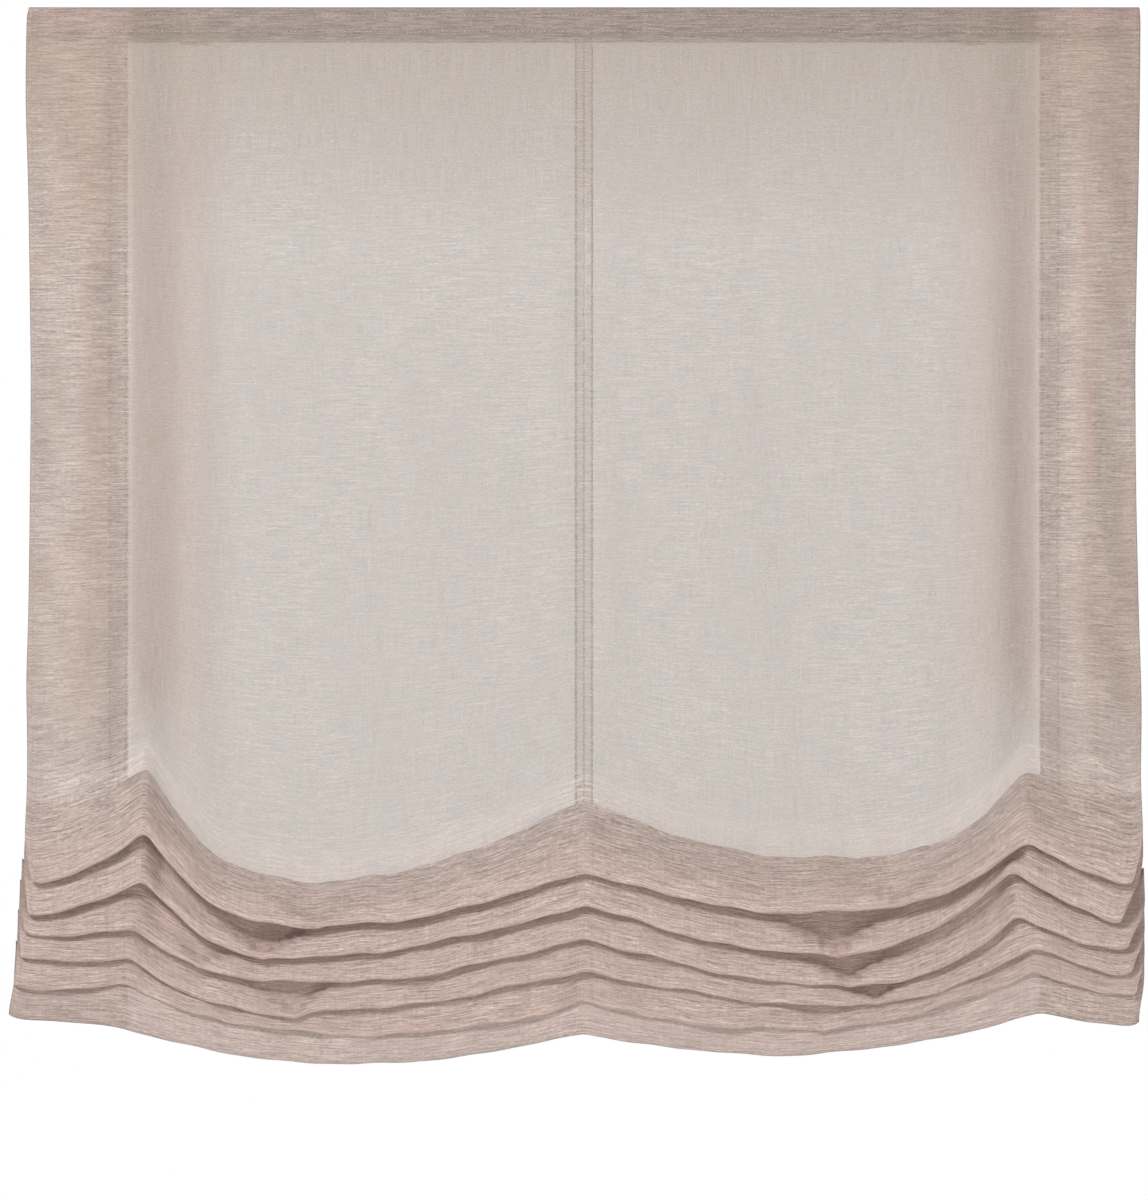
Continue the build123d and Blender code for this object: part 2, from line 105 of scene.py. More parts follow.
# The free side edges: how far below that level, and how far to the right the lips are moved.
LEFT_EDGE = (12, 10, -1, -8, -12, -12)
RIGHT_EDGE = (13, 19, 13, 5, -4, -6)
LEFT_SHIFT = (7, 3, -1, -5, -11, -16)
RIGHT_SHIFT = (-10, -19, -12, -8, -4, -2)
# How far a back line lies above the edge of the fold before it, from the third back line on.
FOLD_RISE = (46, 44, 42, 40)
# The same for the second back line, at places across the cloth. The first lies above the second.
FIRST_RISE_AT = (-500, -440, -395, -345, -220, -60, 0, 70, 250, 350, 392, 440, 500)
FIRST_RISE = (70, 68, 58, 44, 38, 52, 66, 54, 46, 46, 62, 76, 77)
FIRST_STEP = 26
# How much further forward each fold comes than the next one down.
FOLD_REACH = 7.2
# Tucks: V-shaped hollows, each standing on a low tip of a fold's edge.
# (fold, x, share of the fold's depth pressed in, drop of the tip)
TUCKS = (
    (0, -238, 0.34, 2.0),
    (0, 284, 0.34, 1.0),
    (1, -286, 0.85, 5.0),
    (1, 226, 0.85, 3.0),
    (2, -345, 0.70, 3.0),
    (2, 238, 0.80, 3.0),
    (3, -258, 0.70, 4.0),
    (3, 262, 0.75, 4.0),
    (4, -318, 0.40, 2.0),
    (4, 215, 0.45, 1.5),
)
EDGE_ROUND = 3.4
PEAK_ROUND, RISE_ROUND = 7.0, 26.0
TUCK_WIDE, PEAK_HOLLOW = 44, 0.62


def swoop(t, power, tilt=0.0):
    """0 at t 0 to 1 at t 1, steep first and level at the end, or still falling there by tilt."""
    t = np.clip(t, 0, 1)
    return (1 - tilt) * (1 - (1 - t) ** power) + tilt * t


def waves(x, seed, parts):
    """Smooth uneven waves along x: parts are (wavelength, height) pairs."""
    pick = np.random.default_rng(seed)
    total = np.zeros_like(x, dtype=float)
    for length, height in parts:
        total = total + height * np.sin(2 * math.pi * x / length + pick.uniform(0, 2 * math.pi))
    return total


def raw_edge(k, x):
    """Height of the lower edge of fold k at x, with sharp peaks. k 5 is the hem."""
    centre = EDGE_REST[k]
    left, right = centre + LEFT_LIFT[k], centre + RIGHT_LIFT[k]
    left_peak, right_peak = LEFT_PEAK[k], RIGHT_PEAK[k]
    left_low = left_peak * (1 - LEFT_LOW[k])
    right_low = right_peak * RIGHT_LOW[k]
    left_bottom, right_bottom = centre - LEFT_SAG[k], centre - RIGHT_SAG[k]
    spans = [
        (left_peak, -HALF_WIDTH, left, centre - LEFT_EDGE[k], 1.7, 0.0),
        (left_peak, left_low, left, left_bottom, STEEP[k], 0.12),
        (0, left_low, centre, left_bottom, 1.9, 0.1),
        (0, right_low, centre, right_bottom, 1.9, 0.1),
        (right_peak, right_low, right, right_bottom, STEEP[k] - 0.3, 0.12),
        (right_peak, HALF_WIDTH, right, centre - RIGHT_EDGE[k], 1.5, 0.0),
    ]
    height = np.zeros_like(x)
    for start, end, high, low, power, tilt in spans:
        inside = (x >= min(start, end) - 1e-9) & (x <= max(start, end) + 1e-9)
        t = (x - start) / (end - start)
        height = np.where(inside, high - (high - low) * swoop(t, power, tilt), height)
    return height


def blurred(shape, x, reach):
    """shape(x) with its peaks rounded over reach to either side."""
    steps = np.linspace(-1, 1, 9)
    weights = np.cos(steps * math.pi / 2.4)
    total = 0
    for step, weight in zip(steps, weights):
        total = total + weight * shape(np.clip(x + step * reach, -HALF_WIDTH, HALF_WIDTH))
    return total / weights.sum()


def edge_height(k, x):
    """Height of the lower edge of fold k at x, with rounded peaks, tips at the tucks and small waves."""
    smooth = blurred(lambda v: raw_edge(k, v), x, PEAK_ROUND)
    smooth = smooth + 4.5 * np.exp(-(HALF_WIDTH - np.abs(x)) / 5)
    uneven = waves(x, 40 + k, ((150, 1.0), (83, 0.8), (41, 0.5)))
    return smooth - tuck_drop(k, x) + uneven * (1.0 if k < FOLD_COUNT else 0.45)


def first_rise(x):
    """How far the back line of the second fold lies above the first fold's edge."""
    return blurred(lambda v: np.interp(v, FIRST_RISE_AT, FIRST_RISE), x, RISE_ROUND)


def back_height(k, x):
    """Height of the back line that fold k starts from. k 5 is where the hem starts."""
    if k == 0:
        return back_height(1, x) + FIRST_STEP
    if k == 1:
        return edge_height(0, x) + first_rise(x)
    return edge_height(k - 1, x) + FOLD_RISE[k - 2] + waves(x, 60 + k, ((120, 1.2),))


def bump(x, centre, width):
    """A smooth bump, 1 high at its centre."""
    return np.exp(-(((x - centre) / width) ** 2))


def bumps(x, parts):
    """Sum of smooth bumps along x: parts are (height, place, width)."""
    total = np.zeros_like(x, dtype=float)
    for height, place, width in parts:
        total = total + height * bump(x, place, width)
    return total


def fold_reach(k, x):
    """How far forward of the wall fold k's lower edge comes at x."""
    reach = BACK_PLANE + 4.5 + FOLD_REACH * (FOLD_COUNT - k)
    reach = reach + waves(x, 80 + k, ((210, 1.0), (96, 0.9), (52, 0.5)))
    held = bump(x, TAPE_X["left"], 16) + bump(x, 0, 14) + bump(x, TAPE_X["right"], 16)
    hollow = bump(x, LEFT_PEAK[k] + 20, 20) + bump(x, RIGHT_PEAK[k] - 18, 18)
    hollow = hollow + 0.55 * bump(x, LEFT_PEAK[k] + 62, 34) + 0.55 * bump(x, RIGHT_PEAK[k] - 55, 30)
    share = 0.12 if k == 0 else 0.34
    return BACK_PLANE + (reach - BACK_PLANE) * (1 - share * hollow) - 1.5 * held


def tucked(k, x, above):
    """Share of fold k's reach that is pressed in, at x and at a height above its lower edge.

    It is pressed in at the tucks, and beside the peaks of the fold above.
    """
    kept = 1 + 0 * x
    for fold, place, share, _ in TUCKS:
        if fold == k:
            aside = x - place
            brim = 5.0 + np.where(aside < 0, -0.40, 0.52) * aside
            over = 0.5 + 0.5 * np.tanh((above - brim) / 1.6)
            kept = kept * (1 - share * over * np.exp(-((aside / TUCK_WIDE) ** 2)))
            kept = kept * (1 + 0.07 * bump(above, brim - 2.5, 3) * np.exp(-((aside / 30) ** 2)))
    if k > 0:
        for peak, inward in ((LEFT_PEAK[k - 1], 1), (RIGHT_PEAK[k - 1], -1)):
            along = (x - peak) * inward
            beside = np.clip(along / 14, 0, 1) * np.exp(-np.maximum(along - 14, 0) / 62)
            over = 0.5 + 0.5 * np.tanh((above - 13 - 0.05 * along) / 3.2)
            kept = kept * (1 - PEAK_HOLLOW * over * beside)
    return 1 - kept


def tuck_drop(k, x):
    """How much lower the edge comes at the tips of the tucks."""
    total = np.zeros_like(x)
    for fold, place, _, drop in TUCKS:
        if fold == k:
            aside = x - place
            total = total + drop * np.exp(-np.abs(aside) / np.where(aside < 0, 26, 12))
    return total


# ---------------------------------------------------------------- the hanging surface

# Bumps set after the photo, as (height, place, width) in millimetres: the relief beside
# the tapes, by place across, and how far the free side edges wander, by height.
TAPE_RELIEF = (
    (7.0, -350, 22),
    (-0.5, -388, 12),
    (5.0, -455, 22),
    (6.0, 366, 20),
    (-0.5, 396, 10),
    (5.0, 458, 18),
    (-1.3, 0, 11),
    (0.9, 24, 12),
    (0.9, -26, 13),
)
LEFT_WANDER = ((3.2, -340, 190), (-1.6, -60, 60), (-1.0, -590, 40), (2.6, 19, 6))
RIGHT_WANDER = ((-5.0, -330, 200), (1.5, -610, 50), (-1.4, 19, 6))


def drape(x, z):
    """Soft relief of the flat upper part, forward positive."""
    down = np.clip((CLOTH_TOP - 25 - z) / 300, 0, 1)
    down = down * down * (3 - 2 * down)
    low = np.clip((-420 - z) / 240, 0, 1)
    relief = bumps(x, TAPE_RELIEF)
    relief = relief + 2.5 * low * (bump(x, -200, 110) + bump(x, 190, 100))
    slant = x + 0.35 * z
    margin = np.clip((np.abs(x) - 430) / 30, 0, 1)
    relief = relief + margin * 1.5 * np.sin(slant / 9.5 + 0.9 * np.sin(z / 47)) * bump(z, -420, 210)
    relief = relief + margin * 1.2 * np.sin((x - 0.5 * z) / 11 + 1.3 * np.sin(z / 61)) * bump(z, -90, 160)
    relief = relief + 0.8 * waves(x + 0.10 * z, 7, ((131, 0.8), (73, 0.5), (44, 0.35)))
    return relief * down


def side_wave(x, z):
    """How far the free side edges wander sideways."""
    outer = np.clip((np.abs(x) - 380) / 120, 0, 1) ** 2
    return outer * np.where(x < 0, bumps(z, LEFT_WANDER), bumps(z, RIGHT_WANDER))


def bezier(a, b, c, d, t):
    return a * (1 - t) ** 3 + 3 * b * t * (1 - t) ** 2 + 3 * c * t * t * (1 - t) + d * t ** 3


FRONT_SHARE, ROUND_SHARE = 0.56, 0.10


def fold_point(k, t, x):
    """Depth and height on fold k, t from 0 at its back line, round the lower edge, to 1 at the next."""
    start, end = back_height(k, x), back_height(k + 1, x)
    low, reach = edge_height(k, x), fold_reach(k, x)
    r = EDGE_ROUND + 0.5 * waves(x, 120 + k, ((140, 1.0),))
    tall = start - low
    up = end - low - r
    q = np.clip(t / FRONT_SHARE, 0, 1)
    depth = bezier(BACK_PLANE, BACK_PLANE + 0.05 * (reach - BACK_PLANE), reach + 4.0, reach, q)
    height = bezier(start, start - 0.40 * tall, low + r + 0.26 * tall, low + r, q)
    turn = np.clip((t - FRONT_SHARE) / ROUND_SHARE, 0, 1) * math.pi
    on_round = t > FRONT_SHARE
    depth = np.where(on_round, reach - r * (1 - np.cos(turn)), depth)
    height = np.where(on_round, low + r - r * np.sin(turn), height)
    w = np.clip((t - FRONT_SHARE - ROUND_SHARE) / (1 - FRONT_SHARE - ROUND_SHARE), 0, 1)
    inner = reach - 2 * r
    going_up = w > 0
    back_depth = bezier(inner, inner, BACK_PLANE + 0.25 * (inner - BACK_PLANE), BACK_PLANE, w)
    back_rise = bezier(low + r, low + r + 0.35 * up, end - 0.3 * up, end, w)
    depth = np.where(going_up, back_depth, depth)
    height = np.where(going_up, back_rise, height)
    depth = depth - (depth - BACK_PLANE) * tucked(k, x, height - low)
    return depth, height


def surface(x, s):
    """Points of the cloth's face: x across and s down the drop, both arrays of the same shape."""
    flat_end = back_height(0, x)
    share = np.clip(s / UPPER_DROP, 0, 1)
    level_end = EDGE_REST[0] + 65
    height = CLOTH_TOP + (level_end - CLOTH_TOP) * share + (flat_end - level_end) * share ** 6
    depth = BACK_PLANE + 0 * x
    for k in range(FOLD_COUNT):
        t = (s - UPPER_DROP - k * RING_PITCH) / RING_PITCH
        here = (t > 0) & (t <= 1)
        d, z = fold_point(k, np.clip(t, 0, 1), x)
        depth = np.where(here, d, depth)
        height = np.where(here, z, height)
    t = np.clip((s - UPPER_DROP - FOLD_COUNT * RING_PITCH) / HEM_DROP, 0, 1)
    start, low = back_height(FOLD_COUNT, x), edge_height(FOLD_COUNT, x)
    reach = fold_reach(FOLD_COUNT, x)
    in_hem = s > FULL_DROP - HEM_DROP
    depth = np.where(in_hem, bezier(BACK_PLANE, BACK_PLANE + 2, reach + 1.5, reach, t), depth)
    height = np.where(in_hem, start + (low - start) * t, height)
    relief = drape(x, height) * np.clip((UPPER_DROP + 40 - s) / 90, 0, 1)
    # order counts the folds down the cloth, and is a whole number at each fold's lip.
    order = np.clip((s - UPPER_DROP) / RING_PITCH - 0.6, -0.6, FOLD_COUNT)
    stack = np.clip((s - UPPER_DROP - 8) / 66, 0, 1)
    levels = np.arange(FOLD_COUNT + 1)
    outer = np.clip((np.abs(x) - 415) / 85, 0, 1) ** 1.5
    left_shift, right_shift = np.interp(order, levels, LEFT_SHIFT), np.interp(order, levels, RIGHT_SHIFT)
    shift = np.where(x < 0, left_shift, right_shift)
    at_lip = (0.5 + 0.5 * np.cos(2 * math.pi * order)) ** 2
    behind = np.where(x < 0, -2.0 - 1.8 * np.maximum(order, 0), 3.0) * np.clip(order - 0.2, 0, 1)
    across = x + side_wave(x, height) + stack * outer * (shift * at_lip + behind * (1 - at_lip))
    return across, depth + relief, height


SLOPE_STEP = 0.8


def layered(x, s, behind):
    """Points of the cloth moved behind its face by a distance in millimetres, as world metres."""
    x, s, behind = np.broadcast_arrays(np.asarray(x, float), np.asarray(s, float), np.asarray(behind, float))
    across, depth, height = surface(x, s)
    _, d0, z0 = surface(x, np.clip(s - SLOPE_STEP, 0, FULL_DROP))
    _, d1, z1 = surface(x, np.clip(s + SLOPE_STEP, 0, FULL_DROP))
    along_d, along_z = d1 - d0, z1 - z0
    size = np.maximum(np.hypot(along_d, along_z), 1e-9)
    normal_d, normal_z = -along_z / size, along_d / size
    depth = depth - behind * normal_d
    height = height - behind * normal_z
    return np.stack([across * MM, -depth * MM, height * MM], axis=-1)


# ---------------------------------------------------------------- mesh helpers

def grid_mesh(name, points, flat, closed=False):
    """A smooth sheet from a grid of points, with each point's place on the flat cut kept as 'flat'."""
    rows, columns = points.shape[:2]
    index = np.arange(rows * columns).reshape(rows, columns)
    faces = np.stack([index[:-1, :-1], index[:-1, 1:], index[1:, 1:], index[1:, :-1]], axis=-1)
    faces = faces.reshape(-1, 4)
    if closed:
        seam = np.stack([index[:-1, -1], index[:-1, 0], index[1:, 0], index[1:, -1]], axis=-1)
        faces = np.concatenate([faces, seam])
    mesh = bpy.data.meshes.new(name)
    mesh.from_pydata(points.reshape(-1, 3).tolist(), [], faces.tolist())
    mesh.polygons.foreach_set("use_smooth", [True] * len(mesh.polygons))
    place = mesh.attributes.new("flat", "FLOAT_VECTOR", "POINT")
    place.data.foreach_set("vector", flat.reshape(-1).astype(np.float32))
    mesh.update()
    piece = bpy.data.objects.new(name, mesh)
    bpy.context.scene.collection.objects.link(piece)
    return piece


def finish_piece(piece, material):
    piece.data.materials.clear()
    piece.data.materials.append(material)
    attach(piece, "fixed")
    return piece


# ---------------------------------------------------------------- material helpers

class Look:
    """A Principled material with a few shorthand calls for its nodes."""

    def __init__(self, name, roughness, metallic=0.0, **sockets):
        self.material = bpy.data.materials.new(name)
        self.material.use_nodes = True
        self.nodes = self.material.node_tree.nodes
        self.links = self.material.node_tree.links
        self.shader = self.nodes["Principled BSDF"]
        self.shader.inputs["Roughness"].default_value = roughness
        self.shader.inputs["Metallic"].default_value = metallic
        for socket, value in sockets.items():
            self.shader.inputs[socket.replace("_", " ")].default_value = value

    def join(self, source, target):
        self.links.new(source, target)

    def attribute(self, name):
        """A value kept on the mesh's points."""
        node = self.nodes.new("ShaderNodeAttribute")
        node.attribute_name = name
        return node

    def place(self, scale, flat=False):
        """Coordinates in metres, times a scale per axis: on the flat cut, or in space."""
        if flat:
            output = self.attribute("flat").outputs["Vector"]
        else:
            output = self.nodes.new("ShaderNodeTexCoord").outputs["Object"]
        mapping = self.nodes.new("ShaderNodeMapping")
        mapping.inputs["Scale"].default_value = scale
        self.join(output, mapping.inputs["Vector"])
        return mapping.outputs["Vector"]

    def noise(self, scale, detail=2.0, roughness=0.5, flat=False, warp=0.0):
        node = self.nodes.new("ShaderNodeTexNoise")
        node.inputs["Scale"].default_value = 1.0
        node.inputs["Detail"].default_value = detail
        node.inputs["Roughness"].default_value = roughness
        node.inputs["Distortion"].default_value = warp
        self.join(self.place(scale, flat), node.inputs["Vector"])
        return node.outputs["Fac"]

    def wave(self, scale, direction="X", flat=False, warp=0.0):
        node = self.nodes.new("ShaderNodeTexWave")
        node.bands_direction = direction
        node.inputs["Scale"].default_value = 1.0
        node.inputs["Distortion"].default_value = warp
        self.join(self.place(scale, flat), node.inputs["Vector"])
        return node.outputs["Fac"]

    def math(self, kind, a, b):
        node = self.nodes.new("ShaderNodeMath")
        node.operation = kind
        for slot, value in zip(node.inputs, (a, b)):
            if isinstance(value, (int, float)):
                slot.default_value = value
            else:
                self.join(value, slot)
        return node.outputs["Value"]

    def spread(self, value, low, high, to_low, to_high):
        node = self.nodes.new("ShaderNodeMapRange")
        self.join(value, node.inputs["Value"])
        for socket, number in zip(("From Min", "From Max", "To Min", "To Max"), (low, high, to_low, to_high)):
            node.inputs[socket].default_value = number
        return node.outputs["Result"]

    def ramp(self, value, stops):
        node = self.nodes.new("ShaderNodeValToRGB")
        while len(node.color_ramp.elements) < len(stops):
            node.color_ramp.elements.new(0.5)
        for element, (at, colour) in zip(node.color_ramp.elements, stops):
            element.position = at
            element.color = (*colour, 1)
        self.join(value, node.inputs["Fac"])
        return node.outputs["Color"]

    def blend(self, factor, a, b, kind="MIX"):
        node = self.nodes.new("ShaderNodeMix")
        node.data_type = "RGBA"
        node.blend_type = kind
        sockets = {s.identifier: s for s in node.inputs}
        pairs = (("Factor_Float", factor), ("A_Color", a), ("B_Color", b))
        for name, value in pairs:
            if isinstance(value, (int, float)):
                sockets[name].default_value = value
            elif isinstance(value, tuple):
                sockets[name].default_value = (*value, 1)
            else:
                self.join(value, sockets[name])
        return [s for s in node.outputs if s.identifier == "Result_Color"][0]

    def colour(self, output):
        self.join(output, self.shader.inputs["Base Color"])

    def rough(self, value, low, high):
        self.join(self.spread(value, 0.3, 0.7, low, high), self.shader.inputs["Roughness"])

    def relief(self, value, distance, strength=1.0):
        node = self.nodes.new("ShaderNodeBump")
        node.inputs["Distance"].default_value = distance
        node.inputs["Strength"].default_value = strength
        self.join(value, node.inputs["Height"])
        self.join(node.outputs["Normal"], self.shader.inputs["Normal"])
        return node.outputs["Normal"]


def shade(colour, factor):
    return tuple(min(1.0, c * factor) for c in colour)


# ---------------------------------------------------------------- materials

VOILE = (0.64, 0.525, 0.472)
DARK_SLUB = (0.27, 0.225, 0.215)
LIGHT_SLUB = (0.98, 0.845, 0.775)
# Darker rose that the painted shade mixes the cloth toward.
SHADE_ROSE = (0.54, 0.375, 0.315)
COVER = 0.76  # how solid the cloth is on average
GLOW = 0.15  # share of the light that comes through it scattered


def voile_look():
    """Sheer slub voile: short fine streaks along x, thin enough to see through, with a soft sheen."""
    look = Look("voile", 0.5, Sheen_Weight=0.3, Sheen_Roughness=0.4)
    slub = look.noise((38, 760, 1), 2.0, 0.6, flat=True, warp=0.45)
    yarn = look.noise((210, 1900, 1), 1.0, 0.6, flat=True)
    warp_yarn = look.noise((1300, 30, 1), 0.0, 0.5, flat=True)
    cloud = look.noise((9, 6, 1), 1.0, 0.5, flat=True)
    # Painted shade, kept on the mesh's points, 0 to 1.
    painted_shade = look.attribute("painted_shade").outputs["Fac"]
    grain = look.math("ADD", look.math("MULTIPLY", slub, 0.55), look.math("MULTIPLY", yarn, 0.45))
    tone = look.ramp(grain, [(0.30, DARK_SLUB), (0.5, VOILE), (0.70, LIGHT_SLUB)])
    tone = look.blend(look.spread(cloud, 0.35, 0.65, 0.0, 0.35), tone, shade(VOILE, 0.92))
    # Painted shade: the cloth is mixed toward the darker rose where the shade value is high.
    tone = look.blend(look.math("MULTIPLY", painted_shade, 0.55), tone, SHADE_ROSE)
    # Multiplied by the mesh's colour factor, which carries painted light and shade as well as tint.
    tone = look.blend(1.0, tone, look.attribute("tint_and_shade").outputs["Color"], "MULTIPLY")
    look.colour(tone)
    across_weave = look.spread(grain, 0.32, 0.68, -0.20, 0.20)
    down_weave = look.spread(warp_yarn, 0.3, 0.7, -0.05, 0.05)
    open_weave = look.math("ADD", across_weave, down_weave)
    # The painted shade also makes the cloth a little more solid, so it reads darker.
    dense = look.math("ADD", open_weave, look.math("MULTIPLY", painted_shade, 0.12))
    look.join(look.math("ADD", dense, COVER), look.shader.inputs["Alpha"])
    look.rough(slub, 0.62, 0.40)
    normal = look.relief(grain, 0.0009, 0.9)
    through = look.nodes.new("ShaderNodeBsdfTranslucent")
    look.join(tone, through.inputs["Color"])
    look.join(normal, through.inputs["Normal"])
    mixed = look.nodes.new("ShaderNodeMixShader")
    mixed.inputs["Fac"].default_value = GLOW
    look.join(look.shader.outputs["BSDF"], mixed.inputs[1])
    look.join(through.outputs["BSDF"], mixed.inputs[2])
    look.join(mixed.outputs["Shader"], look.nodes["Material Output"].inputs["Surface"])
    return look.material


def tape_look():
    """Woven gathering tape: close ribs across it and two cords of thread along it."""
    look = Look("tape", 0.7, Sheen_Weight=0.2)
    ribs = look.wave((1, 900, 1), "Y", flat=True, warp=1.2)
    warp_yarn = look.wave((420, 1, 1), "X", flat=True, warp=0.6)
    patch = look.noise((60, 25, 1), 2.0, flat=True)
    weave = look.math("ADD", look.math("MULTIPLY", ribs, 0.5), look.math("MULTIPLY", warp_yarn, 0.5))
    tone = look.ramp(weave, [(0.1, (0.72, 0.60, 0.54)), (0.9, (0.92, 0.84, 0.78))])
    tone = look.blend(look.spread(patch, 0.3, 0.7, 0.0, 0.4), tone, (0.88, 0.78, 0.71))
    edge = look.attribute("selvedge").outputs["Fac"]
    look.colour(look.blend(edge, tone, (0.50, 0.35, 0.28)))
    cover = look.spread(weave, 0.1, 0.9, 0.20, 0.38)
    solid = look.math("ADD", cover, look.math("MULTIPLY", edge, 0.45))
    look.join(solid, look.shader.inputs["Alpha"])
    look.relief(weave, 0.0004, 0.7)
    return look.material


def thread_look():
    look = Look("thread", 0.55, Sheen_Weight=0.3)
    twist = look.wave((900, 900, 2200), "DIAGONAL")
    look.colour(look.ramp(twist, [(0.2, (0.74, 0.63, 0.56)), (0.8, (0.95, 0.87, 0.80))]))
    look.relief(twist, 0.0002, 0.8)
    return look.material


def cord_look():
    """Braided lift cord: two crossing sets of fine strands."""
    look = Look("cord", 0.6, Sheen_Weight=0.25)
    one = look.wave((700, 700, 900), "DIAGONAL", warp=0.3)
    other = look.wave((-700, 700, 900), "DIAGONAL", warp=0.3)
    braid = look.math("MAXIMUM", one, other)
    worn = look.noise((90, 90, 40), 2.0)
    tone = look.ramp(braid, [(0.3, (0.74, 0.71, 0.67)), (0.9, (0.93, 0.91, 0.88))])
    look.colour(look.blend(look.spread(worn, 0.4, 0.75, 0.0, 0.35), tone, (0.70, 0.64, 0.56)))
    look.relief(braid, 0.0004, 1.0)
    return look.material


def strip_look(name, colour, fine):
    """Hook or loop strip: a dense short pile on a woven base."""
    look = Look(name, 0.85, Sheen_Weight=0.4)
    pile = look.noise((fine, fine, fine), 3.0, 0.7)
    rows = look.wave((fine * 0.5, 1, 1), "X", warp=1.5)
    mixed = look.math("ADD", look.math("MULTIPLY", pile, 0.7), look.math("MULTIPLY", rows, 0.3))
    look.colour(look.ramp(mixed, [(0.25, shade(colour, 0.6)), (0.7, colour)]))
    look.relief(pile, 0.0012, 1.0)
    return look.material


def rail_look():
    """White powder-coated aluminium, with a fine orange peel and faint handling marks."""
    look = Look("rail_paint", 0.38, Coat_Weight=0.25, Coat_Roughness=0.2)
    peel = look.noise((900, 900, 900), 2.0)
    smudge = look.noise((14, 30, 30), 3.0)
    scuff = look.noise((8, 700, 700), 2.0)
    tone = look.ramp(smudge, [(0.3, (0.80, 0.80, 0.79)), (0.7, (0.88, 0.88, 0.87))])
    look.colour(look.blend(look.spread(scuff, 0.66, 0.74, 0.0, 0.4), tone, (0.62, 0.62, 0.61)))
    look.rough(smudge, 0.32, 0.48)
    look.relief(peel, 0.00012, 0.7)
    return look.material


def plastic_look(name, colour, rough=0.4, coat=0.0):
    """Moulded plastic: fine spark texture, slight mottling and faint flow lines."""
    look = Look(name, rough, Coat_Weight=coat)
    spark = look.noise((1500, 1500, 1500), 2.0)
    flow = look.noise((60, 60, 240), 2.0, warp=0.6)
    tone = look.ramp(flow, [(0.3, shade(colour, 0.9)), (0.7, shade(colour, 1.06))])
    look.colour(tone)
    look.rough(flow, rough - 0.06, rough + 0.1)
    look.relief(spark, 0.00008, 0.7)
    return look.material


def steel_look(name, colour, direction, rough=0.32):
    """Zinc-plated steel, brushed along one direction, with cloudy plating."""
    look = Look(name, rough, 1.0)
    brushed = look.noise(direction, 2.0, 0.6)
    cloud = look.noise((120, 120, 120), 3.0)
    tone = look.ramp(brushed, [(0.3, shade(colour, 0.78)), (0.7, shade(colour, 1.12))])
    look.colour(look.blend(look.spread(cloud, 0.4, 0.7, 0.0, 0.35), tone, shade(colour, 0.85)))
    look.rough(cloud, rough - 0.08, rough + 0.16)
    look.relief(brushed, 0.00006, 0.8)
    return look.material


def brass_look():
    """Knurled brass roller: a fine straight knurl and a dull film."""
    look = Look("roller_brass", 0.35, 1.0)
    knurl = look.wave((1600, 0, 1600), "DIAGONAL")
    film = look.noise((300, 300, 300), 2.0)
    tone = look.ramp(film, [(0.3, (0.58, 0.40, 0.16)), (0.7, (0.78, 0.58, 0.28))])
    look.colour(tone)
    look.rough(film, 0.28, 0.45)
    look.relief(knurl, 0.0003, 0.8)
    return look.material


def bell_look():
    """Turned plastic bell with fine rings round it, in a warm beige."""
    look = Look("bell_plastic", 0.35, Coat_Weight=0.3, Coat_Roughness=0.15)
    rings = look.wave((1, 1, 900), "Z")
    mottle = look.noise((90, 90, 30), 3.0)
    look.colour(look.ramp(mottle, [(0.3, (0.56, 0.45, 0.37)), (0.7, (0.68, 0.57, 0.48))]))
    look.rough(mottle, 0.28, 0.42)
    look.relief(rings, 0.00008, 0.6)
    return look.material


# ---------------------------------------------------------------- camera and light

SENSOR = 36


def make_camera():
    """Straight on and level, far away with a long lens. The picture is 1.0734 m tall at the blind."""
    height, distance = 1.0734, 5.2
    data = bpy.data.cameras.new("camera")
    data.sensor_fit = "AUTO"
    data.sensor_width = SENSOR
    data.lens = SENSOR * distance / height
    data.clip_end = 40
    camera = bpy.data.objects.new("camera", data)
    camera.location = (-0.0089, -0.045 - distance, -0.516)
    camera.rotation_euler = (math.pi / 2, 0, 0)
    bpy.context.scene.collection.objects.link(camera)
    bpy.context.scene.camera = camera


def area_light(name, place, target, size, power, colour=(1, 1, 1)):
    """A lamp of a size in metres and a power in watts, aimed at target."""
    data = bpy.data.lights.new(name, "AREA")
    data.shape = "RECTANGLE"
    data.size, data.size_y = size
    data.energy = power
    data.color = colour
    light = bpy.data.objects.new(name, data)
    light.location = place
    aim = Vector(target) - Vector(place)
    light.rotation_euler = aim.to_track_quat("-Z", "Y").to_euler()
    bpy.context.scene.collection.objects.link(light)


FLOOR_Z = -1.6


